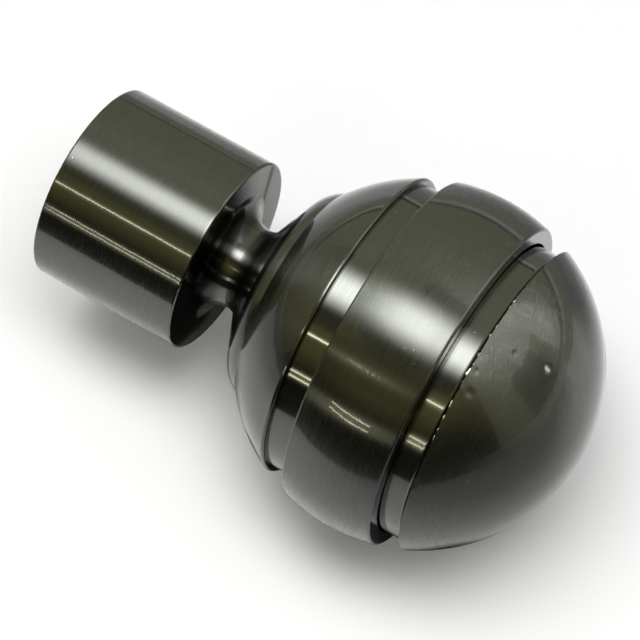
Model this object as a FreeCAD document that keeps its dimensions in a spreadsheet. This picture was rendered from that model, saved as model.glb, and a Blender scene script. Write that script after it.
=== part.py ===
import FreeCAD, Part
import Sketcher
import os

# Curtain pole finial: a cast pole socket with a waisted neck, and a ball made of three nested castings.
# All sizes are millimetres. Every casting is turned about X. The origin is the centre of the socket's
# floor, where the end of the pole stops; +X points to the ball's tip and +Z is up.

SIZES = (
    ("pole_diameter", 28.0, "outside diameter of the pole"),
    ("pole_clearance", 0.5, "socket bore diameter less pole diameter"),
    ("socket_wall", 1.75, "wall of the pole socket"),
    ("socket_depth", 20.0, "depth of the pole bore"),
    ("socket_floor", 5.0, "thickness from the bore's floor to the socket's front face"),
    ("mouth_chamfer", 0.5, "lead-in at the mouth of the pole bore"),
    ("edge_round", 0.4, "rounding of the socket's edges and the rear dome's lip"),
    ("neck_diameter", 13.5, "diameter at the neck's waist"),
    ("neck_root_radius", 4.0, "fillet between the socket's front face and the waist"),
    ("neck_flare_length", 2.0, "axial length of the concave arc from the waist to the collar"),
    ("neck_flare_rise", 0.8, "radial height of the concave arc from the waist to the collar"),
    ("collar_length", 6.6, "from the end of the neck to the crease on the ball"),
    ("collar_diameter", 35.0, "diameter of the crease where the collar meets the ball"),
    ("shoulder_length", 2.8, "axial length of the collar's rounded shoulder"),
    ("shoulder_rise", 2.4, "radial height of the collar's rounded shoulder"),
    ("shoulder_round", 5.0, "radius of the collar's rounded shoulder"),
    ("ball_diameter", 56.0, "diameter of the whole ball"),
    ("ring_width", 15.2, "width of the centre ring"),
    ("ring_edge_round", 0.5, "rounding of the centre ring's outer edges"),
    ("groove_width", 4.2, "width of the groove on each side of the ring"),
    ("groove_step", 1.15, "height of each dome's edge above the groove's floor"),
    ("spigot_reach", 4.0, "how far each dome's spigot goes into the ring"),
    ("spigot_wall", 3.0, "wall of the spigots"),
    ("spigot_clearance", 0.8, "ring bore diameter less spigot diameter"),
    ("rib_height", 3.4, "radial height of the rib inside the ring"),
    ("dome_wall", 3.0, "wall of the hollow domes"),
    ("hub_thickness", 2.4, "from the crease on the ball to the floor of the rear dome's hollow"),
    ("boss_diameter", 12.0, "diameter of the screw boss inside the front dome"),
    ("boss_setback", 2.0, "from the end of the front spigot to the end of the boss"),
    ("tie_diameter", 6.0, "tie screw shank diameter"),
    ("tie_length", 50.0, "tie screw length under the head"),
    ("tie_head_diameter", 10.5, "tie screw head diameter"),
    ("tie_head_height", 3.3, "tie screw head height"),
    ("tie_head_edge", 1.2, "height of the straight edge of the tie screw's head"),
    ("tie_crown_radius", 5.5, "radius of the tie screw head's rounded crown"),
    ("tie_head_sink", 0.4, "depth of the tie screw's head below the socket's floor"),
    ("tie_hex", 4.0, "hexagon socket of the tie screw, across flats"),
    ("tie_hex_depth", 2.0, "depth of the tie screw's hexagon socket"),
    ("tie_tip_room", 2.0, "free depth beyond the tie screw's tip"),
    ("hole_clearance", 0.5, "clearance on the diameter round the tie screw's shank and head"),
    ("thread_clearance", 0.2, "clearance on the diameter of the threaded holes"),
    ("grub_diameter", 4.0, "grub screw diameter"),
    ("grub_length", 3.0, "grub screw length"),
    ("grub_point", 0.6, "length of the grub screw's tapered point"),
    ("grub_hex", 2.0, "hexagon socket of the grub screw, across flats"),
    ("grub_hex_depth", 1.5, "depth of the grub screw's hexagon socket"),
    ("grub_distance", 10.0, "from the socket's floor to the grub screw's axis"),
    ("grub_setback", 0.1, "from the pole bore's wall to the tip of the grub screw"),
)

doc = FreeCAD.newDocument("finial")
sheet = doc.addObject("Spreadsheet::Sheet", "Sizes")
for row, (alias, size, meaning) in enumerate(SIZES, start=1):
    sheet.set(f"A{row}", meaning)
    sheet.set(f"B{row}", str(size))
    sheet.setAlias(f"B{row}", alias)
doc.recompute()


def cell(alias):
    return f"Sizes.{alias}"


def half(alias):
    return f"(Sizes.{alias} / 2)"


def value(expression):
    return float(sheet.evalExpression(expression))


def round_at(radius, offset):
    """Radius of a sphere's section at an axial offset from its centre."""
    return f"sqrt(({radius})^2 - ({offset})^2)"


# Places along the axis, as expressions in the sheet's sizes.
MOUTH = "(-Sizes.socket_depth)"
FACE = cell("socket_floor")
WAIST = f"({FACE} + Sizes.neck_root_radius)"
NECK_END = f"({WAIST} + Sizes.neck_flare_length)"
CREASE = f"({NECK_END} + Sizes.collar_length)"
BALL = f"({CREASE} + {round_at(half('ball_diameter'), half('collar_diameter'))})"
RING_HALF = half("ring_width")
STEP_HALF = f"({RING_HALF} + Sizes.groove_width)"
REACH_HALF = f"({RING_HALF} - Sizes.spigot_reach)"
HOLLOW_FLOOR = f"({CREASE} + Sizes.hub_thickness)"
HEAD_SEAT = "(Sizes.tie_head_height + Sizes.tie_head_sink)"
HEAD_TOP = cell("tie_head_sink")
TIE_TIP = f"({HEAD_SEAT} + Sizes.tie_length)"

# Radii that pieces share.
BORE_R = "((Sizes.pole_diameter + Sizes.pole_clearance) / 2)"
SOCKET_R = f"({BORE_R} + Sizes.socket_wall)"
NECK_R = half("neck_diameter")
NECK_END_R = f"({NECK_R} + Sizes.neck_flare_rise)"
FLARE_R = "((Sizes.neck_flare_length^2 + Sizes.neck_flare_rise^2) / (2 * Sizes.neck_flare_rise))"
COLLAR_R = half("collar_diameter")
BALL_R = half("ball_diameter")
STEP_R = round_at(BALL_R, STEP_HALF)
RING_EDGE_R = round_at(BALL_R, RING_HALF)
SPIGOT_R = f"({STEP_R} - Sizes.groove_step)"
SPIGOT_INNER_R = f"({SPIGOT_R} - Sizes.spigot_wall)"
RING_BORE_R = f"({SPIGOT_R} + Sizes.spigot_clearance / 2)"
RIB_R = f"({RING_BORE_R} - Sizes.rib_height)"
HOLLOW_R = f"({BALL_R} - Sizes.dome_wall)"
HOLLOW_RUN = round_at(HOLLOW_R, SPIGOT_INNER_R)
BOSS_R = half("boss_diameter")
TIE_R = half("tie_diameter")
TIE_HOLE_R = "((Sizes.tie_diameter + Sizes.hole_clearance) / 2)"
TIE_THREAD_R = "((Sizes.tie_diameter + Sizes.thread_clearance) / 2)"
HEAD_R = half("tie_head_diameter")
HEAD_ROOM_R = "((Sizes.tie_head_diameter + Sizes.hole_clearance) / 2)"
GRUB_R = half("grub_diameter")
GRUB_HOLE_R = "((Sizes.grub_diameter + Sizes.thread_clearance) / 2)"
GRUB_TIP_R = f"({BORE_R} + Sizes.grub_setback)"

AXIS = "0"
FULL_TURN = 360.0
QUARTER_TURN = 90.0
HEX_SIDES = 6
OUTWARD = 1
INWARD = -1

# A sketch's references: its origin, and the start, end and centre of one of its curves.
ORIGIN = (-1, 1)
START = 1
END = 2
CENTRE = 3


def new_sketch(body, name, plane_role):
    sketch = body.newObject("Sketcher::SketchObject", name)
    plane = next(item for item in body.Origin.OriginFeatures if item.Role == plane_role)
    sketch.AttachmentSupport = (plane, [""])
    sketch.MapMode = "FlatFace"
    return sketch


def bind(sketch, kind, references, expression):
    """Add a dimension whose value follows an expression."""
    index = sketch.addConstraint(Sketcher.Constraint(kind, *references, value(expression)))
    sketch.setExpression(f"Constraints[{index}]", expression)


def arc_through(start, end, radius, side):
    """Arc from start to end; side 1 bulges to the left of that direction, -1 to the right."""
    chord = end - start
    sagitta = radius - (radius**2 - (chord.Length / 2) ** 2) ** 0.5
    left = FreeCAD.Vector(-chord.y, chord.x, 0).normalize()
    middle = (start + end) / 2 + left * (side * sagitta)
    if side == OUTWARD:
        return Part.Arc(end, middle, start)
    return Part.Arc(start, middle, end)


def outline(body, name, plane_role, corners, arcs=None):
    """Closed sketch through corners (pairs of expressions). arcs maps a corner's index to the
    radius and side of the arc that leaves it; every other side is straight."""
    arcs = arcs or {}
    sketch = new_sketch(body, name, plane_role)
    points = [FreeCAD.Vector(value(across), value(up), 0) for across, up in corners]
    ends = []
    for index, start in enumerate(points):
        end = points[(index + 1) % len(points)]
        first, last = START, END
        if index in arcs:
            radius, side = arcs[index]
            side_number = sketch.addGeometry(arc_through(start, end, value(radius), side))
            if side == OUTWARD:
                first, last = END, START
        else:
            side_number = sketch.addGeometry(Part.LineSegment(start, end))
        ends.append((side_number, first, last))
    for index, (across, up) in enumerate(corners):
        before, _, before_end = ends[index - 1]
        after, after_start, _ = ends[index]
        sketch.addConstraint(Sketcher.Constraint("Coincident", before, before_end, after, after_start))
        bind(sketch, "DistanceX", (*ORIGIN, after, after_start), across)
        bind(sketch, "DistanceY", (*ORIGIN, after, after_start), up)
    for index, (radius, _) in arcs.items():
        bind(sketch, "Radius", (ends[index][0],), radius)
    return sketch


def turned(body, kind, name, corners, arcs=None):
    """Revolution or Groove of a profile in the XZ plane about the X axis."""
    sketch = outline(body, name + "_profile", "XZ_Plane", corners, arcs)
    feature = body.newObject("PartDesign::" + kind, name)
    feature.Profile = sketch
    feature.ReferenceAxis = (sketch, ["H_Axis"])
    feature.Angle = FULL_TURN
    doc.recompute()
    return feature


def rim_edges(feature, rims):
    """Names of the circular edges about the X axis at the given places and radii."""
    tolerance = 1e-4
    names = []
    for number, edge in enumerate(feature.Shape.Edges, start=1):
        curve = edge.Curve
        if not isinstance(curve, Part.Circle):
            continue
        for place, radius in rims:
            near = abs(curve.Center.x - value(place)) < tolerance
            if near and abs(curve.Radius - value(radius)) < tolerance:
                names.append(f"Edge{number}")
    return names


def dress_edges(body, kind, name, size_alias, rims):
    """Fillet or Chamfer of the rims at the given places and radii."""
    base = body.Tip
    feature = body.newObject("PartDesign::" + kind, name)
    feature.Base = (base, rim_edges(base, rims))
    size_property = "Radius" if kind == "Fillet" else "Size"
    feature.setExpression(size_property, cell(size_alias))
    doc.recompute()


def hex_socket(body, name, width_alias, depth_alias, face):
    """Hexagon socket sunk along +X from the face at the given place."""
    corner_r = f"(Sizes.{width_alias} / sqrt(3))"
    turns = [side * FULL_TURN / HEX_SIDES for side in range(HEX_SIDES)]
    corners = [(f"{corner_r} * cos({turn})", f"{corner_r} * sin({turn})") for turn in turns]
    sketch = outline(body, name + "_outline", "YZ_Plane", corners)
    sketch.setExpression("AttachmentOffset.Base.z", face)
    pocket = body.newObject("PartDesign::Pocket", name)
    pocket.Profile = sketch
    pocket.setExpression("Length", cell(depth_alias))
    pocket.Reversed = True
    doc.recompute()


def new_body(name):
    body = doc.addObject("PartDesign::Body", name)
    body.Label = name
    return body


def make_socket_casting():
    """Pole socket, waisted neck, collar and rear dome, ending in the rear spigot."""
    body = new_body("socket_casting")
    shoulder = f"({CREASE} - Sizes.shoulder_length)"
    shoulder_r = f"({COLLAR_R} - Sizes.shoulder_rise)"
    lip = f"({BALL} - {STEP_HALF})"
    spigot_end = f"({BALL} - {REACH_HALF})"
    corners = [
        (MOUTH, AXIS),
        (MOUTH, SOCKET_R),
        (FACE, SOCKET_R),
        (FACE, f"({NECK_R} + Sizes.neck_root_radius)"),
        (WAIST, NECK_R),
        (NECK_END, NECK_END_R),
        (shoulder, shoulder_r),
        (CREASE, COLLAR_R),
        (lip, STEP_R),
        (lip, SPIGOT_R),
        (spigot_end, SPIGOT_R),
        (spigot_end, AXIS),
    ]
    arcs = {
        3: (cell("neck_root_radius"), INWARD),
        4: (FLARE_R, INWARD),
        6: (cell("shoulder_round"), OUTWARD),
        7: (BALL_R, OUTWARD),
    }
    turned(body, "Revolution", "socket_neck_and_dome", corners, arcs)
    core = [
        (MOUTH, AXIS),
        (MOUTH, BORE_R),
        (AXIS, BORE_R),
        (AXIS, HEAD_ROOM_R),
        (HEAD_SEAT, HEAD_ROOM_R),
        (HEAD_SEAT, TIE_HOLE_R),
        (HOLLOW_FLOOR, TIE_HOLE_R),
        (HOLLOW_FLOOR, round_at(HOLLOW_R, f"{BALL} - {HOLLOW_FLOOR}")),
        (f"({BALL} - {HOLLOW_RUN})", SPIGOT_INNER_R),
        (spigot_end, SPIGOT_INNER_R),
        (spigot_end, AXIS),
    ]
    turned(body, "Groove", "bore_and_hollow", core, {7: (HOLLOW_R, OUTWARD)})
    grub_sketch = new_sketch(body, "grub_hole_outline", "XY_Plane")
    circle = Part.Circle(FreeCAD.Vector(value("-Sizes.grub_distance"), 0, 0), FreeCAD.Vector(0, 0, 1),
                         value(GRUB_HOLE_R))
    number = grub_sketch.addGeometry(circle)
    bind(grub_sketch, "DistanceX", (*ORIGIN, number, CENTRE), "-Sizes.grub_distance")
    bind(grub_sketch, "DistanceY", (*ORIGIN, number, CENTRE), AXIS)
    bind(grub_sketch, "Radius", (number,), GRUB_HOLE_R)
    grub_hole = body.newObject("PartDesign::Pocket", "grub_hole")
    grub_hole.Profile = grub_sketch
    grub_hole.setExpression("Length", f"{SOCKET_R} + Sizes.grub_length")
    doc.recompute()
    dress_edges(body, "Chamfer", "mouth_lead_in", "mouth_chamfer", [(MOUTH, BORE_R)])
    dress_edges(body, "Fillet", "rounded_edges", "edge_round",
                [(MOUTH, SOCKET_R), (FACE, SOCKET_R), (lip, STEP_R)])
    return body


def make_centre_ring():
    """Barrel-shaped ring with a locating rib between its two spigot seats."""
    body = new_body("centre_ring")
    back = f"({BALL} - {RING_HALF})"
    front = f"({BALL} + {RING_HALF})"
    rib_back = f"({BALL} - {REACH_HALF})"
    rib_front = f"({BALL} + {REACH_HALF})"
    corners = [
        (back, RING_BORE_R),
        (back, RING_EDGE_R),
        (front, RING_EDGE_R),
        (front, RING_BORE_R),
        (rib_front, RING_BORE_R),
        (rib_front, RIB_R),
        (rib_back, RIB_R),
        (rib_back, RING_BORE_R),
    ]
    turned(body, "Revolution", "barrel_and_rib", corners, {1: (BALL_R, OUTWARD)})
    dress_edges(body, "Fillet", "rounded_rims", "ring_edge_round",
                [(back, RING_EDGE_R), (front, RING_EDGE_R)])
    return body


def make_front_dome():
    """Domed end piece with its spigot, hollow inside round a boss for the tie screw."""
    body = new_body("front_dome")
    step = f"({BALL} + {STEP_HALF})"
    spigot_end = f"({BALL} + {REACH_HALF})"
    boss_end = f"({spigot_end} + Sizes.boss_setback)"
    corners = [
        (spigot_end, AXIS),
        (spigot_end, SPIGOT_R),
        (step, SPIGOT_R),
        (step, STEP_R),
        (f"({BALL} + {BALL_R})", AXIS),
    ]
    turned(body, "Revolution", "dome_and_spigot", corners, {3: (BALL_R, OUTWARD)})
    hollow = [
        (spigot_end, AXIS),
        (spigot_end, SPIGOT_INNER_R),
        (f"({BALL} + {HOLLOW_RUN})", SPIGOT_INNER_R),
        (f"({BALL} + {round_at(HOLLOW_R, BOSS_R)})", BOSS_R),
        (boss_end, BOSS_R),
        (boss_end, AXIS),
    ]
    turned(body, "Groove", "hollow", hollow, {2: (HOLLOW_R, OUTWARD)})
    hole_end = f"({TIE_TIP} + Sizes.tie_tip_room)"
    hole = [
        (boss_end, AXIS),
        (boss_end, TIE_THREAD_R),
        (hole_end, TIE_THREAD_R),
        (hole_end, AXIS),
    ]
    turned(body, "Groove", "tie_hole", hole)
    return body


def make_tie_screw():
    """Round-headed screw that clamps the three castings, its head sunk in the socket's floor."""
    body = new_body("tie_screw")
    head_edge = f"({HEAD_SEAT} - Sizes.tie_head_edge)"
    crown_rise = "(Sizes.tie_head_height - Sizes.tie_head_edge)"
    corners = [
        (HEAD_TOP, AXIS),
        (HEAD_TOP, f"({HEAD_R} - {crown_rise})"),
        (head_edge, HEAD_R),
        (HEAD_SEAT, HEAD_R),
        (HEAD_SEAT, TIE_R),
        (TIE_TIP, TIE_R),
        (TIE_TIP, AXIS),
    ]
    turned(body, "Revolution", "head_and_shank", corners, {1: (cell("tie_crown_radius"), OUTWARD)})
    hex_socket(body, "tie_hex_socket", "tie_hex", "tie_hex_depth", HEAD_TOP)
    return body


def make_grub_screw():
    """Set screw in the socket's underside, backed out clear of the pole bore."""
    body = new_body("grub_screw")
    corners = [
        (AXIS, AXIS),
        (AXIS, GRUB_R),
        ("(Sizes.grub_length - Sizes.grub_point)", GRUB_R),
        (cell("grub_length"), f"({GRUB_R} - Sizes.grub_point)"),
        (cell("grub_length"), AXIS),
    ]
    turned(body, "Revolution", "thread_and_point", corners)
    hex_socket(body, "grub_hex_socket", "grub_hex", "grub_hex_depth", AXIS)
    body.Placement.Rotation = FreeCAD.Rotation(FreeCAD.Vector(0, 1, 0), -QUARTER_TURN)
    body.setExpression("Placement.Base.x", "-Sizes.grub_distance")
    body.setExpression("Placement.Base.z", f"-({GRUB_TIP_R} + Sizes.grub_length)")
    return body


bodies = [
    make_socket_casting(),
    make_centre_ring(),
    make_front_dome(),
    make_tie_screw(),
    make_grub_screw(),
]
doc.recompute()

failed = [item.Name for item in doc.Objects if {"Invalid", "Error"} & set(item.State)]
if failed:
    raise RuntimeError(f"objects that did not build: {failed}")
for body in bodies:
    if body.Shape.isNull() or not body.Shape.isValid():
        raise RuntimeError(f"{body.Label} has no valid shape")

os.makedirs("parts", exist_ok=True)
for body in bodies:
    body.Shape.exportStep(f"parts/{body.Label}.step")
    print(f"{body.Label}: {body.Shape.Volume:.1f} cubic millimetres, {len(body.Shape.Solids)} solid")
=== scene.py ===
import math
from collections import namedtuple

import bpy
import bmesh
from mathutils import Matrix, Vector, noise


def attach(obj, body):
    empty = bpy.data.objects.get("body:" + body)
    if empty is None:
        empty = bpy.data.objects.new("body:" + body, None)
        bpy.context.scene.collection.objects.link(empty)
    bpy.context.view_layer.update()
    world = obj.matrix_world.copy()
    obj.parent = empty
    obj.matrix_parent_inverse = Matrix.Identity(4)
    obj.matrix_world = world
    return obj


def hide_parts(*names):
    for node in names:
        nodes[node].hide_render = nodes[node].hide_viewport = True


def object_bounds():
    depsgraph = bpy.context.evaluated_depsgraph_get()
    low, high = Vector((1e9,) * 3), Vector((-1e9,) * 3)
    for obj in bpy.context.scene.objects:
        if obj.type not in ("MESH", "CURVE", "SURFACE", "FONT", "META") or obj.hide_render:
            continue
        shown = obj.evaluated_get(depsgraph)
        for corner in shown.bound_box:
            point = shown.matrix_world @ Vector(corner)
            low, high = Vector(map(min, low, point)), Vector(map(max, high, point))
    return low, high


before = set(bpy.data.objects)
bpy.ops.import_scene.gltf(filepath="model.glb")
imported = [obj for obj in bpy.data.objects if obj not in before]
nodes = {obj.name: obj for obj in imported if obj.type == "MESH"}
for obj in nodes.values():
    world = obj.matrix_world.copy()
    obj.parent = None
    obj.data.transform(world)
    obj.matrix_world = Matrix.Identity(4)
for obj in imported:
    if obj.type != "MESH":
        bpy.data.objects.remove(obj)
cad_low, cad_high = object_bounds()
scene = bpy.context.scene
scene.view_settings.view_transform = "Standard"

MM = 0.001
TO_MM = 1000.0

# Camera: where the photograph was taken from
VIEW_AZIMUTH = math.radians(31.95)
VIEW_ELEVATION = math.radians(63.84)
VIEW_DISTANCE = 0.4447
VIEW_TARGET = Vector((0.02039, 0.00235, -0.00952))
LENS = 160.94
SENSOR = 36.0
CLIP_START = 0.01

# Stage: the floor under the ball, the low rails and shade card on it, and the cards round the object
FLOOR_Z = cad_low[2]
FLOOR_HALF = 1.5
FLOOR_COLOUR = (0.93, 0.93, 0.93, 1.0)
PAPER_ROUGHNESS = 0.9
WHITE_FROM = 0.32
WHITE_TO = 0.60
RAIL_X = (-0.26, 0.28)
RAIL_Y = (-0.16, 0.16)
CARD_LIFT = 0.0003
CARD_STEP = 4
TONE_LAYER = "tone"
LAMP_RADIUS = 0.60
LAMP_COLOUR = (1.0, 0.95, 0.70)
SOFTBOX_HEIGHT = 0.65
SOFTBOX_X = 0.05
SOFTBOX_Y = -0.036
SOFTBOX_HALF_X = 0.52
SOFTBOX_HALF_Y = 0.27
SOFTBOX_CORE_X = 0.05
SOFTBOX_CORE_Y = 0.1
SOFTBOX_LEVEL = 10.5
WORLD_LEVEL = 0.32
WHITE = (1.0, 1.0, 1.0, 1.0)

# Shade card, painted shade on the floor that only reflections see: the ends of its fading edges on the floor,
# in metres, and how far those edges lean with Y
SHADE_TONE = 0.36
SHADE_FRONT = (0.03, 0.16)
SHADE_FRONT_LEAN = 0.6
SHADE_FRONT_FAR_LEAN = 0.9
SHADE_BACK = (0.02, 0.12)
SHADE_BACK_SHARE = 0.5
SHADE_FAR_X = (-0.08, 0.03)
SHADE_FAR_LEAST = 0.25
SHADE_FAR_Y = (0.035, 0.085)
SHADE_FAR_END = (0.035, 0.075)
SHADE_FAR_END_LEAN = 0.6

# Shade card: its dark patches of painted shadow under the ball and the neck, and the thin line beyond them
DARK_TONE = 0.05
BALL_DARK_X = (0.0085, 0.0105)
BALL_DARK_LEAN = 0.2
BALL_DARK_SLANT = (-0.005, 0.002)
BALL_DARK_SLANT_LEAN = 0.79
BALL_DARK_END = (0.056, 0.068)
BALL_DARK_FAR = (0.029, 0.036)
BALL_DARK_NEAR = (-0.026, -0.017)
NECK_DARK_X = (-0.012, 0.0)
NECK_DARK_END = (0.01, 0.02)
NECK_DARK_SIDE = (0.012, 0.02)
NECK_DARK_SHARE = 0.7
LINE_X = 0.00607
LINE_LEAN = 1.0 / 3.0
LINE_EDGE = (0.00012, 0.00024)
LINE_FROM = (0.0195, 0.021)

# Rails: name, start, end, top, tone at the start, tone at the end
RAILS = (
    ("rail_near", (RAIL_X[0], RAIL_Y[0]), (RAIL_X[1], RAIL_Y[0]), 0.02,
     (0.05, 0.05, 0.04), (0.05, 0.05, 0.04)),
    ("rail_far", (RAIL_X[0], RAIL_Y[1]), (RAIL_X[1], RAIL_Y[1]), 0.0,
     (0.46, 0.48, 0.36), (0.46, 0.48, 0.36)),
    ("rail_back", (RAIL_X[0], RAIL_Y[0]), (RAIL_X[0], RAIL_Y[1]), 0.0,
     (0.20, 0.20, 0.15), (0.36, 0.37, 0.28)),
    ("rail_front", (RAIL_X[1], RAIL_Y[0]), (RAIL_X[1], RAIL_Y[1]), 0.0,
     (0.16, 0.15, 0.10), (0.80, 0.79, 0.66)),
)

# Cards: name, azimuths and elevations in degrees, tone at the foot, tone at the head, radius
CARDS = (
    ("wall_round", (-180, 180), (-16, 89), (0.46, 0.48, 0.32), (0.80, 0.82, 0.63), 0.80),
    ("wall_back_low", (-205, -150), (-16, 38), (0.14, 0.14, 0.09), (0.60, 0.58, 0.36), 0.786),
    ("wall_back_end", (153, 177), (-16, 14), (0.44, 0.45, 0.36), (0.50, 0.51, 0.41), 0.784),
    ("wall_near_foot", (-152, 4), (-16, 9), (0.05, 0.05, 0.04), (0.04, 0.04, 0.03), 0.785),
    ("wall_near_low", (-152, 4), (8, 25), (0.03, 0.03, 0.02), (0.12, 0.11, 0.06), 0.785),
    ("wall_near_rise", (-152, 4), (24, 38), (0.12, 0.11, 0.06), (0.40, 0.37, 0.16), 0.785),
    ("wall_near", (-160, 4), (37, 56), (0.40, 0.37, 0.16), (0.46, 0.41, 0.19), 0.785),
    ("wall_near_top", (-160, -20), (55, 70), (0.18, 0.18, 0.12), (0.15, 0.15, 0.12), 0.78),
    ("wall_end", (-16, 30), (-16, 50), (0.24, 0.23, 0.15), (0.75, 0.73, 0.52), 0.78),
    ("doorway", (5, 27), (-16, 25), (0.20, 0.19, 0.13), (0.20, 0.19, 0.13), 0.77),
    ("window_low", (7, 17), (27, 56), (0.95, 0.95, 0.84), (1.20, 1.20, 1.10), 0.772),
    ("window_high", (16, 37), (23, 56), (1.5, 1.5, 1.35), (2.1, 2.1, 1.95), 0.77),
    ("window_end", (36, 52), (1, 56), (1.15, 1.15, 1.03), (2.9, 2.9, 2.7), 0.76),
    ("window_side", (51, 61), (1, 56), (0.62, 0.63, 0.54), (1.10, 1.10, 1.00), 0.768),
    ("wall_far_foot", (20, 160), (-3, 1), (0.14, 0.14, 0.12), (0.14, 0.14, 0.12), 0.765),
    ("flag_far", (40, 106), (63, 75), (0.50, 0.51, 0.44), (0.30, 0.30, 0.26), 0.70),
)

# Lamps: name, place along X, angle from straight up, length, width, radiance
LAMPS = (
    ("lamp_high_a", -0.205, 41.5, 0.11, 0.014, 15.0),
    ("lamp_high_b", -0.107, 41.5, 0.03, 0.012, 20.0),
    ("lamp_high_c", -0.062, 41.5, 0.024, 0.012, 20.0),
    ("lamp_low_a", -0.0875, 70.0, 0.275, 0.009, 14.0),
    ("lamp_low_b", -0.0875, 74.0, 0.275, 0.009, 14.0),
)


def link(obj):
    scene.collection.objects.link(obj)
    return obj


def view_axes():
    right = Vector((math.cos(VIEW_AZIMUTH), math.sin(VIEW_AZIMUTH), 0.0))
    back = Vector((
        math.sin(VIEW_AZIMUTH) * math.cos(VIEW_ELEVATION),
        -math.cos(VIEW_AZIMUTH) * math.cos(VIEW_ELEVATION),
        math.sin(VIEW_ELEVATION),
    ))
    return right, back.cross(right), back


def make_camera():
    right, up, back = view_axes()
    data = bpy.data.cameras.new("view_camera")
    data.lens = LENS
    data.sensor_width = SENSOR
    data.sensor_fit = "HORIZONTAL"
    data.clip_start = CLIP_START
    camera = link(bpy.data.objects.new("view_camera", data))
    turn = Matrix((right, up, back)).transposed().to_4x4()
    camera.matrix_world = Matrix.Translation(VIEW_TARGET + back * VIEW_DISTANCE) @ turn
    scene.camera = camera


def new_material(name):
    material = bpy.data.materials.new(name)
    material.use_nodes = True
    tree = material.node_tree
    return material, tree, tree.nodes["Principled BSDF"]


class Nodes:
    """Short names for the nodes of one material or of the world."""

    def __init__(self, tree):
        self.tree = tree

    def add(self, kind, **settings):
        node = self.tree.nodes.new(kind)
        for name, value in settings.items():
            setattr(node, name, value)
        return node

    def join(self, source, target):
        self.tree.links.new(source, target)

    def put(self, target, value):
        if isinstance(value, (int, float, tuple)):
            target.default_value = value
        else:
            self.join(value, target)

    def math(self, operation, first, second=0.0):
        node = self.add("ShaderNodeMath", operation=operation)
        self.put(node.inputs[0], first)
        self.put(node.inputs[1], second)
        return node.outputs[0]

    def product(self, first, *others):
        for other in others:
            first = self.math("MULTIPLY", first, other)
        return first

    def most(self, first, *others):
        for other in others:
            first = self.math("MAXIMUM", first, other)
        return first

    def leaning(self, x, y, lean):
        """X less a share of Y, so that an edge drawn on it leans."""
        return self.math("SUBTRACT", x, self.math("MULTIPLY", y, lean))

    def span(self, value, low, high, to_low=0.0, to_high=1.0):
        node = self.add("ShaderNodeMapRange", interpolation_type="SMOOTHSTEP")
        self.put(node.inputs["Value"], value)
        self.put(node.inputs["From Min"], low)
        self.put(node.inputs["From Max"], high)
        self.put(node.inputs["To Min"], to_low)
        self.put(node.inputs["To Max"], to_high)
        return node.outputs[0]

    def fall(self, value, low, high):
        return self.span(value, low, high, 1.0, 0.0)

    def ramp(self, value, stops):
        node = self.add("ShaderNodeValToRGB")
        bar = node.color_ramp
        while len(bar.elements) < len(stops):
            bar.elements.new(1.0)
        for element, (place, colour) in zip(bar.elements, stops):
            element.position = place
            element.color = colour if isinstance(colour, tuple) else (colour, colour, colour, 1.0)
        self.put(node.inputs["Fac"], value)
        return node.outputs["Color"]

    def mix(self, share, first, second):
        node = self.add("ShaderNodeMix", data_type="RGBA")
        self.put(node.inputs["Factor"], share)
        self.put(node.inputs["A"], first)
        self.put(node.inputs["B"], second)
        return node.outputs["Result"]

    def vector(self, operation, first, second=None):
        node = self.add("ShaderNodeVectorMath", operation=operation)
        self.put(node.inputs[0], first)
        if second is not None:
            self.put(node.inputs[1], second)
        return node.outputs["Value"] if operation == "LENGTH" else node.outputs["Vector"]

    def place(self):
        return self.add("ShaderNodeTexCoord").outputs["Object"]

    def parts(self, vector):
        node = self.add("ShaderNodeSeparateXYZ")
        self.join(vector, node.inputs[0])
        return node.outputs["X"], node.outputs["Y"], node.outputs["Z"]

    def seen(self):
        """One for camera, glossy and transmission rays alike, and nought for the rest."""
        path = self.add("ShaderNodeLightPath")
        rays = [path.outputs[name] for name in ("Is Camera Ray", "Is Glossy Ray", "Is Transmission Ray")]
        return self.most(*rays)


# Stage


def flat_sheet(name, span_x, span_y, z, material):
    corners = [(x, y, z) for x, y in (
        (span_x[0], span_y[0]), (span_x[1], span_y[0]), (span_x[1], span_y[1]), (span_x[0], span_y[1]),
    )]
    mesh = bpy.data.meshes.new(name)
    mesh.from_pydata(corners, [], [(0, 1, 2, 3)])
    mesh.materials.append(material)
    sheet = link(bpy.data.objects.new(name, mesh))
    return sheet


def reflected_only(obj):
    obj.visible_camera = False
    obj.visible_diffuse = False
    obj.visible_shadow = False
    obj.visible_transmission = False
    obj.visible_volume_scatter = False


def matt(shader):
    shader.inputs["Roughness"].default_value = PAPER_ROUGHNESS
    shader.inputs["Specular IOR Level"].default_value = 0.0


def make_floor():
    """A pale sheet that turns to white far from the object."""
    material, tree, shader = new_material("floor_paper")
    shader.inputs["Base Color"].default_value = FLOOR_COLOUR
    matt(shader)
    n = Nodes(tree)
    reach = n.vector("LENGTH", n.place())
    glow = n.add("ShaderNodeEmission")
    fade = n.add("ShaderNodeMixShader")
    n.join(n.product(n.span(reach, WHITE_FROM, WHITE_TO), n.seen()), fade.inputs[0])
    n.join(shader.outputs[0], fade.inputs[1])
    n.join(glow.outputs[0], fade.inputs[2])
    n.join(fade.outputs[0], tree.nodes["Material Output"].inputs["Surface"])
    flat_sheet("floor", (-FLOOR_HALF, FLOOR_HALF), (-FLOOR_HALF, FLOOR_HALF), FLOOR_Z, material)


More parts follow.
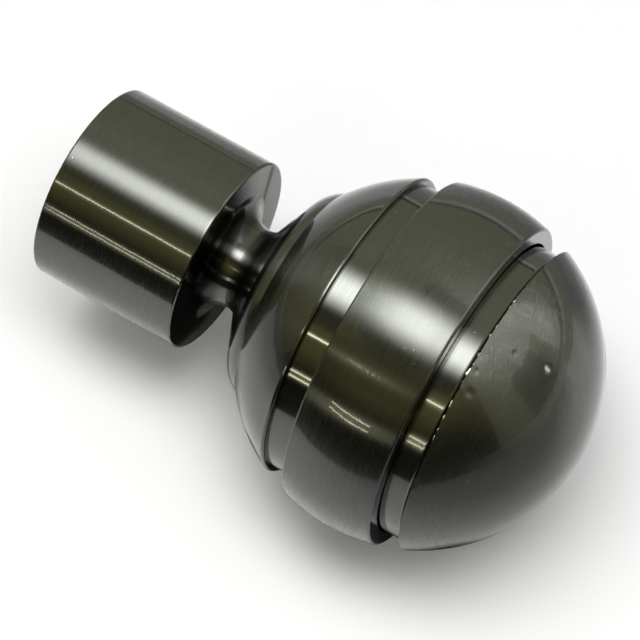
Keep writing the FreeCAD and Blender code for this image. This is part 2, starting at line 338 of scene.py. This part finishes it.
def make_shade_card():
    """A grey card on the floor that only reflections see, painted shade on the floor, with dark patches of
    painted shadow under the part.
    """
    material, tree, shader = new_material("shade_card")
    n = Nodes(tree)
    x, y, _ = n.parts(n.place())
    aside = n.math("ABSOLUTE", y)
    # Painted shade: where the grey card darkens the floor that reflections see
    lean = n.math("ADD", n.product(y, SHADE_FRONT_LEAN), n.product(n.most(y, 0.0), SHADE_FRONT_FAR_LEAN))
    front = n.span(n.math("SUBTRACT", x, lean), *SHADE_FRONT)
    back = n.span(n.product(x, -1.0), *SHADE_BACK, 0.0, SHADE_BACK_SHARE)
    far = n.product(
        n.span(x, *SHADE_FAR_X, SHADE_FAR_LEAST, 1.0),
        n.fall(n.leaning(x, y, SHADE_FAR_END_LEAN), *SHADE_FAR_END),
        n.span(y, *SHADE_FAR_Y),
    )
    # Painted shadow on the floor under the ball and the neck, as reflections see it
    ball_painted_shadow = n.product(
        n.span(n.leaning(x, aside, BALL_DARK_LEAN), *BALL_DARK_X),
        n.span(n.leaning(x, y, BALL_DARK_SLANT_LEAN), *BALL_DARK_SLANT),
        n.fall(x, *BALL_DARK_END),
        n.fall(y, *BALL_DARK_FAR),
        n.span(y, *BALL_DARK_NEAR),
    )
    neck_painted_shadow = n.product(
        n.span(x, *NECK_DARK_X, 0.0, NECK_DARK_SHARE),
        n.fall(aside, *NECK_DARK_SIDE),
        n.fall(x, *NECK_DARK_END),
    )
    off_line = n.math("ABSOLUTE", n.math("SUBTRACT", n.leaning(x, y, LINE_LEAN), LINE_X))
    line = n.product(n.fall(off_line, *LINE_EDGE), n.span(y, *LINE_FROM))
    dark = n.most(ball_painted_shadow, neck_painted_shadow, line)
    n.join(n.ramp(dark, [(0.0, SHADE_TONE), (1.0, DARK_TONE)]), shader.inputs["Base Color"])
    n.join(n.most(front, back, far, dark), shader.inputs["Alpha"])
    matt(shader)
    reflected_only(flat_sheet("shade_card", RAIL_X, RAIL_Y, FLOOR_Z + CARD_LIFT, material))


def round_point(azimuth, elevation, radius):
    turn = math.radians(azimuth)
    rise = math.radians(elevation)
    level = math.cos(rise)
    return Vector((math.cos(turn) * level, math.sin(turn) * level, math.sin(rise))) * radius


def card_material(name):
    """A glow in the tone that is painted on the mesh."""
    material = bpy.data.materials.new(name)
    material.use_nodes = True
    tree = material.node_tree
    tree.nodes.clear()
    n = Nodes(tree)
    tone = n.add("ShaderNodeVertexColor", layer_name=TONE_LAYER)
    glow = n.add("ShaderNodeEmission")
    out = n.add("ShaderNodeOutputMaterial")
    n.join(tone.outputs["Color"], glow.inputs["Color"])
    n.join(glow.outputs[0], out.inputs["Surface"])
    material.cycles.emission_sampling = "NONE"
    return material


def painted_card(name, points, faces, tones, material):
    """A card that only reflections see, with one tone for each of its points."""
    mesh = bpy.data.meshes.new(name)
    mesh.from_pydata(points, [], faces)
    layer = mesh.color_attributes.new(TONE_LAYER, "FLOAT_COLOR", "POINT")
    for place, tone in zip(layer.data, tones):
        place.color = (*tone, 1.0)
    mesh.materials.append(material)
    card = link(bpy.data.objects.new(name, mesh))
    reflected_only(card)


def make_rail(name, start, end, top, first, last, material):
    """A low card standing on the floor."""
    corners = [(*start, FLOOR_Z), (*end, FLOOR_Z), (*end, top), (*start, top)]
    painted_card(name, corners, [(0, 1, 2, 3)], (first, last, last, first), material)


def make_card(name, azimuths, elevations, low, high, radius, material):
    """A curved card, low in tone at its foot and high at its head."""
    columns = max(2, int((azimuths[1] - azimuths[0]) / CARD_STEP))
    rows = max(2, int((elevations[1] - elevations[0]) / CARD_STEP))
    points = []
    tones = []
    for row in range(rows + 1):
        share = row / rows
        rise = elevations[0] + (elevations[1] - elevations[0]) * share
        for column in range(columns + 1):
            turn = azimuths[0] + (azimuths[1] - azimuths[0]) * column / columns
            points.append(round_point(turn, rise, radius))
            tones.append([a + (b - a) * share for a, b in zip(low, high)])
    faces = []
    for row in range(rows):
        for column in range(columns):
            first = row * (columns + 1) + column
            faces.append((first, first + 1, first + columns + 2, first + columns + 1))
    painted_card(name, points, faces, tones, material)


def lamp_place(x, angle):
    """A place at that angle from straight up, towards the camera's side."""
    turn = math.radians(angle)
    return Vector((x, -LAMP_RADIUS * math.sin(turn), LAMP_RADIUS * math.cos(turn)))


def make_lamp(name, x, angle, length, width, radiance):
    """A thin lamp along X that faces the axis."""
    data = bpy.data.lights.new(name, "AREA")
    data.shape = "RECTANGLE"
    data.size = length
    data.size_y = width
    data.energy = radiance * math.pi * length * width
    data.color = LAMP_COLOUR
    lamp = link(bpy.data.objects.new(name, data))
    place = lamp_place(x, angle)
    depth = Vector((0.0, place[1], place[2])).normalized()
    side = Vector((1.0, 0.0, 0.0))
    turn = Matrix((side, depth.cross(side), depth)).transposed().to_4x4()
    lamp.matrix_world = Matrix.Translation(place) @ turn
    lamp.visible_camera = False


def make_softbox():
    """A lit panel overhead that fades towards its edges."""
    x, y = SOFTBOX_HALF_X, SOFTBOX_HALF_Y
    mesh = bpy.data.meshes.new("softbox")
    mesh.from_pydata([(-x, -y, 0.0), (-x, y, 0.0), (x, y, 0.0), (x, -y, 0.0)], [], [(0, 1, 2, 3)])
    box = link(bpy.data.objects.new("softbox", mesh))
    box.location = (SOFTBOX_X, SOFTBOX_Y, SOFTBOX_HEIGHT)
    box.visible_camera = False
    material = bpy.data.materials.new("softbox_glow")
    material.use_nodes = True
    tree = material.node_tree
    tree.nodes.clear()
    n = Nodes(tree)
    place_x, place_y, _ = n.parts(n.place())
    across = n.fall(n.math("ABSOLUTE", place_y), y * SOFTBOX_CORE_Y, y)
    along = n.fall(n.math("ABSOLUTE", place_x), x * SOFTBOX_CORE_X, x)
    glow = n.add("ShaderNodeEmission")
    glow.inputs["Color"].default_value = WHITE
    n.join(n.product(across, across, along, SOFTBOX_LEVEL), glow.inputs["Strength"])
    both = n.add("ShaderNodeAddShader")
    n.join(glow.outputs[0], both.inputs[0])
    n.join(n.add("ShaderNodeBsdfTransparent").outputs[0], both.inputs[1])
    out = n.add("ShaderNodeOutputMaterial")
    n.join(both.outputs[0], out.inputs["Surface"])
    mesh.materials.append(material)


def make_world():
    """A white surround, weaker as a light than as a background."""
    world = bpy.data.worlds.new("studio")
    scene.world = world
    world.use_nodes = True
    n = Nodes(world.node_tree)
    back = world.node_tree.nodes["Background"]
    back.inputs["Color"].default_value = WHITE
    n.join(n.span(n.seen(), 0.0, 1.0, WORLD_LEVEL, 1.0), back.inputs["Strength"])


def make_light():
    glow = card_material("card_glow")
    for rail in RAILS:
        make_rail(*rail, glow)
    for card in CARDS:
        make_card(*card, glow)
    make_softbox()
    for lamp in LAMPS:
        make_lamp(*lamp)
    make_world()


make_camera()
make_floor()
make_shade_card()
make_light()

# Materials

# Brush marks: how fine they are across and how short round the axis, and where in the noise they start
FINE_BRUSH = (6.0, 7.0, 0.0)
BROAD_BRUSH = (0.6, 1.6, 40.0)
BRUSH_DETAIL = 2.0
BRUSH_ROUGHNESS = 0.6
BRUSH_TINT = (0.38, 0.62)
BRUSH_GLOSS = (0.35, 0.65)
AXIS_R = 0.01

# Lacquer: its gloss, its waves and where it is thin
COAT_ROUGHNESS = 0.045
COAT_IOR = 1.39
FILM_SCALE = 430.0
FILM_DETAIL = 1.5
MARK_DEPTH = 0.00002
SMOOTH_OVER = 0.6
SMOOTH_SHARE = 0.2
THIN_OVER = 3.0
THIN_SHARE = 0.2

# Scuffs: two sets of fine lines in patches, their slope to the axis and where in the noise they start
SCUFF_SETS = ((0.35, 3.0), (-1.1, 9.0))
SCUFF_R = 25.0
SCUFF_FINE = 9.0
SCUFF_SHORT = 0.35
SCUFF_DETAIL = 2.0
SCUFF_LINE = (0.54, 0.70)
SCUFF_PATCH_SCALE = 110.0
SCUFF_PATCH = (0.34, 0.56)
SCUFF_TURN_FROM = (-0.40, -0.10)
SCUFF_TURN_TO = (0.45, 0.65)
SCUFF_OVER = 0.3

DUST_SCALE = 900.0
DUST_LEAST = 0.88
DUST_EDGE = (0.05, 0.09)

DUST = (0.45, 0.45, 0.43, 1.0)
CORNER_PAINTED_SHADE = (0.012, 0.012, 0.011, 1.0)
RUBBED = (0.24, 0.245, 0.22, 1.0)
# Colour of the painted highlight on the dome
PAINTED_HIGHLIGHT_COLOUR = (0.74, 0.84, 0.92, 1.0)
SPECULAR_TINT = (0.50, 0.50, 0.49, 1.0)
QUARTER_TURN = 0.25
NICKEL = (0.081, 0.085, 0.078)
BARE = (0.30, 0.31, 0.29)
ZINC_GREY = (0.46, 0.47, 0.46)
BLACK = (0.06, 0.06, 0.065)

# Roughness along the axis, in millimetres from the socket's floor
SOCKET_FINISH = (
    (-20.0, 0.26), (4.4, 0.26), (4.8, 0.11), (5.2, 0.12), (6.2, 0.23), (13.0, 0.23),
    (15.5, 0.18), (17.6, 0.23), (27.2, 0.23), (27.5, 0.16), (36.0, 0.16),
)
RING_FINISH = ((31.9, 0.27), (32.2, 0.29), (46.6, 0.29), (47.0, 0.24))
DOME_FINISH = ((43.0, 0.18), (51.2, 0.18), (51.4, 0.30), (58.0, 0.26), (67.5, 0.22))
SCREW_FINISH = ((-20.0, 0.30), (60.0, 0.34))
BORE_R = (14.6, 14.9)
BORE_END = (0.5, 1.5)
BORE_ROUGHNESS = 0.42

# Painted shade in the neck's corners, near black, which also weakens the lacquer there: place along the axis
# and share of the full tone
NECK_SHADE = (
    (4.95, 1.0), (5.6, 0.40), (6.9, 0.40), (8.1, 1.0), (10.0, 1.0), (11.0, 0.45), (13.6, 0.45), (14.6, 1.0),
)
SOCKET_SMOOTH_FROM = 4.4

# Scuffs on the ring and the dome: their strength and where along the axis they start
RING_SCUFFS = (0.2, 31.0)
DOME_SCUFFS = (0.6, 51.4)
# Where round the ring the lacquer is thin, in degrees from the top towards the camera's side
RING_THIN = (25.0, 39.0)
# The painted highlight on the dome, a bluish white spot at a dent: its place, its full and its faded reach,
# in metres, and how it is drawn out
DOME_HIGHLIGHT_SPOT = ((0.05968, 0.00095, 0.01938), 0.0001, 0.0007)
SPOT_STRETCH = (0.6, 1.3, 1.0)

Lathe = namedtuple("Lathe", "place along radius turn_y turn_z")


def lathe_coordinates(n):
    """The place along the axis and the distance from it, in millimetres, and the direction round it."""
    place = n.place()
    along, y, z = [n.product(part, TO_MM) for part in n.parts(place)]
    radius = n.math("SQRT", n.math("ADD", n.product(y, y), n.product(z, z)))
    safe = n.most(radius, AXIS_R)
    return Lathe(place, along, radius, n.math("DIVIDE", y, safe), n.math("DIVIDE", z, safe))


def along_axis(n, lathe, stops):
    """A value that changes along the axis between the places in a table."""
    start = stops[0][0]
    length = stops[-1][0] - start
    share = n.math("DIVIDE", n.math("SUBTRACT", lathe.along, start), length)
    return n.ramp(share, [((x - start) / length, value) for x, value in stops])


def streaks(n, lathe, fine, short, seed):
    """Noise drawn out round the axis, as a lathe brush leaves it."""
    join = n.add("ShaderNodeCombineXYZ")
    n.join(n.math("ADD", n.product(lathe.along, fine), seed), join.inputs["X"])
    n.join(n.product(lathe.turn_y, short), join.inputs["Y"])
    n.join(n.product(lathe.turn_z, short), join.inputs["Z"])
    marks = n.add("ShaderNodeTexNoise", noise_dimensions="4D")
    n.join(join.outputs[0], marks.inputs["Vector"])
    n.join(n.product(lathe.radius, fine), marks.inputs["W"])
    marks.inputs["Scale"].default_value = 1.0
    marks.inputs["Detail"].default_value = BRUSH_DETAIL
    marks.inputs["Roughness"].default_value = BRUSH_ROUGHNESS
    return marks.outputs["Fac"]


def film_waves(n, lathe):
    """The uneven surface of the lacquer."""
    waves = n.add("ShaderNodeTexNoise")
    n.join(lathe.place, waves.inputs["Vector"])
    waves.inputs["Scale"].default_value = FILM_SCALE
    waves.inputs["Detail"].default_value = FILM_DETAIL
    return waves.outputs["Fac"]


def scuffs(n, lathe, slope, seed):
    """Short fine scratches in patches, at a slope to the axis."""
    turn = n.math("ARCTAN2", lathe.turn_y, lathe.turn_z)
    arc = n.product(turn, SCUFF_R)
    slope_x, slope_y = math.cos(slope), math.sin(slope)
    across = n.math(
        "ADD",
        n.product(lathe.along, slope_x * SCUFF_FINE),
        n.product(arc, slope_y * SCUFF_FINE),
    )
    down = n.math(
        "SUBTRACT",
        n.product(arc, slope_x * SCUFF_SHORT),
        n.product(lathe.along, slope_y * SCUFF_SHORT),
    )
    join = n.add("ShaderNodeCombineXYZ")
    n.join(across, join.inputs["X"])
    n.join(down, join.inputs["Y"])
    join.inputs["Z"].default_value = seed
    lines = n.add("ShaderNodeTexNoise")
    n.join(join.outputs[0], lines.inputs["Vector"])
    lines.inputs["Scale"].default_value = 1.0
    lines.inputs["Detail"].default_value = SCUFF_DETAIL
    patches = n.add("ShaderNodeTexNoise")
    n.join(lathe.place, patches.inputs["Vector"])
    patches.inputs["Scale"].default_value = SCUFF_PATCH_SCALE
    return n.product(
        n.span(lines.outputs["Fac"], *SCUFF_LINE),
        n.span(patches.outputs["Fac"], *SCUFF_PATCH),
        n.span(turn, *SCUFF_TURN_FROM),
        n.fall(turn, *SCUFF_TURN_TO),
    )


def dust(n, lathe):
    """A few pale specks."""
    cells = n.add("ShaderNodeTexVoronoi")
    n.join(lathe.place, cells.inputs["Vector"])
    cells.inputs["Scale"].default_value = DUST_SCALE
    split = n.add("ShaderNodeSeparateColor")
    n.join(cells.outputs["Color"], split.inputs[0])
    chosen = n.math("GREATER_THAN", split.outputs[0], DUST_LEAST)
    return n.product(n.fall(cells.outputs["Distance"], *DUST_EDGE), chosen)


def shades(colour, low, high):
    return tuple(c * low for c in colour) + (1.0,), tuple(c * high for c in colour) + (1.0,)


def bump(n, height, strength):
    node = n.add("ShaderNodeBump")
    node.inputs["Strength"].default_value = strength
    node.inputs["Distance"].default_value = MARK_DEPTH
    n.join(height, node.inputs["Height"])
    return node.outputs[0]


def make_metal(name, colour, finish, turn=1.0, brush=0.15, grain=0.03, wide=0.2, film=0.20, coat=1.0,
               smooth_from=None, scuffed=None, painted_highlight=None, thin_lacquer=None, shaded=None):
    """Plated metal, brushed round its axis under clear lacquer."""
    material, tree, shader = new_material(name)
    n = Nodes(tree)
    lathe = lathe_coordinates(n)
    fine = streaks(n, lathe, *FINE_BRUSH)
    broad = streaks(n, lathe, *BROAD_BRUSH)
    mixed = n.math("ADD", n.product(fine, 1.0 - wide), n.product(broad, wide))
    dark, light = shades(colour, 1.0 - brush, 1.0 + brush)
    shade = n.ramp(mixed, [(BRUSH_TINT[0], dark), (BRUSH_TINT[1], light)])
    shade = n.mix(dust(n, lathe), shade, DUST)
    shader.inputs["Coat Weight"].default_value = coat
    if scuffed:
        scuff_level, scuff_from = scuffed
        marks = n.most(*[scuffs(n, lathe, *one) for one in SCUFF_SETS])
        reach = n.span(lathe.along, scuff_from, scuff_from + SCUFF_OVER, 0.0, scuff_level)
        shade = n.mix(n.product(marks, reach), shade, RUBBED)
    # A painted highlight: a bluish white spot on the dome
    if painted_highlight:
        spot_place, inner, outer = painted_highlight
        offset = n.vector("SUBTRACT", lathe.place, spot_place)
        reach = n.vector("LENGTH", n.vector("MULTIPLY", offset, SPOT_STRETCH))
        shade = n.mix(n.fall(reach, inner, outer), shade, PAINTED_HIGHLIGHT_COLOUR)
    # Painted shade: near black colour and weaker lacquer in the neck's corners
    if shaded:
        left = along_axis(n, lathe, shaded)
        shade = n.mix(left, CORNER_PAINTED_SHADE, shade)
        n.join(n.product(left, coat), shader.inputs["Coat Weight"])
    if thin_lacquer:
        first, last = thin_lacquer
        angle = n.math("DEGREES", n.math("ARCTAN2", n.product(lathe.turn_y, -1.0), lathe.turn_z))
        thin = n.product(n.span(angle, first, first + THIN_OVER), n.fall(angle, last - THIN_OVER, last))
        n.join(n.span(thin, 0.0, 1.0, coat, THIN_SHARE * coat), shader.inputs["Coat Weight"])
    n.join(shade, shader.inputs["Base Color"])
    bore = n.product(n.fall(lathe.radius, *BORE_R), n.fall(lathe.along, *BORE_END))
    level = n.span(bore, 0.0, 1.0, along_axis(n, lathe, finish), BORE_ROUGHNESS)
    gloss = n.span(fine, *BRUSH_GLOSS, 1.0 - brush, 1.0 + brush)
    n.join(n.product(level, gloss), shader.inputs["Roughness"])
    shader.inputs["Metallic"].default_value = 1.0
    shader.inputs["Specular Tint"].default_value = SPECULAR_TINT
    shader.inputs["Anisotropic"].default_value = turn
    shader.inputs["Anisotropic Rotation"].default_value = QUARTER_TURN
    shader.inputs["Coat Roughness"].default_value = COAT_ROUGHNESS
    shader.inputs["Coat IOR"].default_value = COAT_IOR
    tangent = n.add("ShaderNodeTangent", direction_type="RADIAL", axis="X")
    n.join(tangent.outputs[0], shader.inputs["Tangent"])
    waves = film_waves(n, lathe)
    if smooth_from:
        calm = n.span(lathe.along, smooth_from, smooth_from + SMOOTH_OVER, 1.0, SMOOTH_SHARE)
        waves = n.product(waves, calm)
    n.join(bump(n, fine, grain), shader.inputs["Normal"])
    n.join(bump(n, waves, film), shader.inputs["Coat Normal"])
    return material


SOCKET_METAL = make_metal("dark_nickel_socket", NICKEL, SOCKET_FINISH, brush=0.10, film=0.32,
                          smooth_from=SOCKET_SMOOTH_FROM, shaded=NECK_SHADE)
RING_METAL = make_metal("dark_nickel_ring", NICKEL, RING_FINISH, brush=0.10, film=0.30,
                        scuffed=RING_SCUFFS, thin_lacquer=RING_THIN)
DOME_METAL = make_metal("dark_nickel_dome", NICKEL, DOME_FINISH, turn=0.8, brush=0.06, grain=0.05, wide=0.0,
                        film=0.04, scuffed=DOME_SCUFFS, painted_highlight=DOME_HIGHLIGHT_SPOT)
BARE_METAL = make_metal("bare_edge", BARE, DOME_FINISH, turn=0.0, brush=0.2)
ZINC = make_metal("zinc_steel", ZINC_GREY, SCREW_FINISH, turn=0.4, brush=0.12, grain=0.5, coat=0.0)
BLACK_STEEL = make_metal("black_steel", BLACK, SCREW_FINISH, turn=0.0, brush=0.25, grain=0.5, coat=0.0)

for name, metal in (
    ("socket_casting", SOCKET_METAL),
    ("centre_ring", RING_METAL),
    ("tie_screw", ZINC),
    ("grub_screw", BLACK_STEEL),
):
    nodes[name].data.materials.clear()
    nodes[name].data.materials.append(metal)

# Front dome, in millimetres: the casting's own sizes
BALL_X = 39.457
BALL_R = 28.0
SPIGOT_END = 43.057
SPIGOT_R = 24.242
SPIGOT_INNER_R = 21.242
STEP_X = 51.257
STEP_R = 25.392
HOLLOW_R = 25.0
BOSS_R = 6.0
BOSS_END = 45.057
HOLE_R = 3.1
HOLE_END = 55.7
EDGE_BREAK = 0.12
ROOT_R = 0.9

# Front dome: how finely its mesh is drawn
ROOT_ROWS = 8
HOLLOW_ROWS = 10
DOME_ROWS = 110
DOME_SEGMENTS = 460
SHARP_ANGLE = math.radians(32.0)
ON_AXIS = 1e-6

# Dents in the dome: place along the axis, angle from the top towards the camera's side, half width, depth
DENTS = (
    (55.13, 2.6, 0.62, 0.14),
    (59.68, -2.8, 0.95, 0.16),
    (54.2, -1.2, 0.40, 0.06),
    (54.5, -2.2, 0.38, 0.06),
    (52.4, -9.5, 0.45, 0.07),
    (52.04, 15.8, 0.55, 0.12),
    (52.79, 23.0, 0.90, 0.10),
)
SKIN = 0.01

# The dome's ragged back edge: pitch, place in the noise and size of its two waves, and how soon they fade
EDGE_SLOW = (20.0, (5.0, 0.0, 0.0), 0.10)
EDGE_QUICK = (55.0, (0.0, 1.3, 0.0), 0.07)
EDGE_FADE = 0.7

# Casting flash: its height in millimetres, its three waves as above, and where round the edge it stands out
FLASH_STEPS = 1100
FLASH_HEIGHT = 0.42
FLASH_BODY = 0.02
FLASH_FOOT = 0.3
FLASH_SPREAD = 0.6
FLASH_SINK = 0.08
FLASH_LEVEL = -0.12
FLASH_PATCH = (5.0, (3.1, 0.0, 0.0), 0.25)
FLASH_TOOTH = (30.0, (0.0, 7.7, 0.0), 1.60)
FLASH_FLECK = (70.0, (0.0, 0.0, 2.3), 0.45)
FLASH_MIDDLE = 12.0
FLASH_FULL = 1.25
FLASH_FADE = 30.0
FLASH_LEAST = 0.04
# Corners of the flash's section: offset along the axis, share of the rise, offset in radius, share of width
FLASH_SECTION = (
    (0.16, 0.0, -0.12, 0.0),
    (0.05, 0.0, 0.0, 0.45),
    (0.0, -0.55, 0.0, 0.40),
    (0.0, -1.0, 0.0, -0.35),
    (0.0, -0.35, 0.0, -1.1),
)


def turned_point(x, radius, angle):
    """A point of the part from its place along the axis, its radius and its angle from the top, in metres."""
    turn = math.radians(angle)
    return Vector((x, -radius * math.sin(turn), radius * math.cos(turn))) * MM


def arc_points(radius, start, end, count):
    """Points of a circle round the ball's centre between two places along the axis."""
    first = math.acos((start - BALL_X) / radius)
    last = math.acos((end - BALL_X) / radius)
    turns = [first + (last - first) * i / count for i in range(count + 1)]
    return [(BALL_X + radius * math.cos(t), radius * math.sin(t)) for t in turns]


def turned_mesh(name, profile, segments, material):
    """A solid of revolution about the axis, closed where its profile meets the axis."""
    mesh = bpy.data.meshes.new(name)
    bm = bmesh.new()
    rings = []
    angles = [360.0 * i / segments for i in range(segments)]
    for x, radius in profile:
        if radius < ON_AXIS:
            rings.append([bm.verts.new(turned_point(x, 0.0, 0.0))])
        else:
            rings.append([bm.verts.new(turned_point(x, radius, angle)) for angle in angles])
    for first, second in zip(rings, rings[1:]):
        for i in range(segments):
            j = (i + 1) % segments
            if len(first) == 1:
                bm.faces.new((first[0], second[i], second[j]))
            elif len(second) == 1:
                bm.faces.new((first[i], second[0], first[j]))
            else:
                bm.faces.new((first[i], second[i], second[j], first[j]))
    bmesh.ops.recalc_face_normals(bm, faces=bm.faces)
    for face in bm.faces:
        face.smooth = True
    bm.to_mesh(mesh)
    bm.free()
    mesh.set_sharp_from_angle(angle=SHARP_ANGLE)
    mesh.materials.append(material)
    return link(bpy.data.objects.new(name, mesh))


def round_wave(angle, pitch, shift, size):
    """Noise that runs round the axis and meets itself."""
    turn = math.radians(angle)
    round_place = Vector((math.cos(turn), math.sin(turn), 0.0))
    return size * noise.noise(round_place * pitch + Vector(shift))


def edge_wave(angle):
    """How far the dome's ragged back edge lies forward of its step at that angle, in millimetres."""
    return round_wave(angle, *EDGE_SLOW) + round_wave(angle, *EDGE_QUICK)


def shape_dome(mesh):
    """Presses the dents into the dome and makes its back edge ragged."""
    centre = Vector((BALL_X * MM, 0.0, 0.0))
    dents = []
    for x, angle, half, depth in DENTS:
        radius = math.sqrt(BALL_R ** 2 - (x - BALL_X) ** 2)
        dents.append((turned_point(x, radius, angle), half * MM, depth * MM))
    for vertex in mesh.vertices:
        out = vertex.co - centre
        if vertex.co.x < STEP_X * MM or out.length < (BALL_R - SKIN) * MM:
            continue
        sink = 0.0
        for place, half, depth in dents:
            gap = (vertex.co - place).length / half
            if gap < 1.0:
                sink += depth * (0.5 + 0.5 * math.cos(math.pi * gap))
        vertex.co -= out.normalized() * sink
        near = 1.0 - (vertex.co.x / MM - STEP_X) / EDGE_FADE
        if near > 0.0:
            vertex.co.x += edge_wave(math.degrees(math.atan2(-vertex.co.y, vertex.co.z))) * near * MM


def make_front_dome():
    hollow_x = BALL_X + math.sqrt(HOLLOW_R ** 2 - SPIGOT_INNER_R ** 2)
    boss_x = BALL_X + math.sqrt(HOLLOW_R ** 2 - BOSS_R ** 2)
    inside = [(HOLE_END, 0.0), (HOLE_END, HOLE_R), (BOSS_END, HOLE_R), (BOSS_END, BOSS_R)]
    inside += arc_points(HOLLOW_R, boss_x, hollow_x, HOLLOW_ROWS)
    inside += [
        (SPIGOT_END, SPIGOT_INNER_R),
        (SPIGOT_END, SPIGOT_R - EDGE_BREAK),
        (SPIGOT_END + EDGE_BREAK, SPIGOT_R),
    ]
    for i in range(ROOT_ROWS + 1):
        turn = math.pi / 2 * i / ROOT_ROWS
        inside.append((STEP_X - ROOT_R * (1.0 - math.sin(turn)), SPIGOT_R + ROOT_R * (1.0 - math.cos(turn))))
    inside.append((STEP_X, STEP_R))
    outside = arc_points(BALL_R, STEP_X, BALL_X + BALL_R, DOME_ROWS)[1:-1] + [(BALL_X + BALL_R, 0.0)]
    dome = turned_mesh("front_dome_casting", inside + outside, DOME_SEGMENTS, DOME_METAL)
    shape_dome(dome.data)
    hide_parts("front_dome")
    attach(dome, "root")


def flash_height(angle):
    """How far the ragged casting flash stands out at that angle, in millimetres."""
    level = FLASH_LEVEL
    for wave in (FLASH_PATCH, FLASH_TOOTH, FLASH_FLECK):
        level += round_wave(angle, *wave)
    away = abs((angle - FLASH_MIDDLE + 180.0) % 360.0 - 180.0)
    share = max(FLASH_LEAST, FLASH_FULL - away / FLASH_FADE)
    return FLASH_HEIGHT * min(share, 1.0) * min(max(level, 0.0), 1.0)


def make_flash():
    mesh = bpy.data.meshes.new("front_flash")
    bm = bmesh.new()
    rings = []
    for i in range(FLASH_STEPS):
        angle = 360.0 * i / FLASH_STEPS
        rise = FLASH_BODY * FLASH_FOOT + flash_height(angle)
        wide = FLASH_BODY + rise * FLASH_SPREAD
        edge = STEP_X + edge_wave(angle)
        base = STEP_R - FLASH_SINK * max(0.0, 1.0 - rise / FLASH_SINK)
        ring = []
        for shift_x, share_x, shift_r, share_r in FLASH_SECTION:
            x = edge + shift_x + rise * share_x
            radius = base + shift_r + wide * share_r
            ring.append(bm.verts.new(turned_point(x, radius, angle)))
        rings.append(ring)
    count = len(FLASH_SECTION)
    for i in range(FLASH_STEPS):
        here = rings[i]
        after = rings[(i + 1) % FLASH_STEPS]
        for k in range(count):
            m = (k + 1) % count
            bm.faces.new((here[k], here[m], after[m], after[k]))
    bmesh.ops.recalc_face_normals(bm, faces=bm.faces)
    bm.to_mesh(mesh)
    bm.free()
    mesh.materials.append(BARE_METAL)
    flash = link(bpy.data.objects.new("front_flash", mesh))
    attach(flash, "root")


make_front_dome()
make_flash()
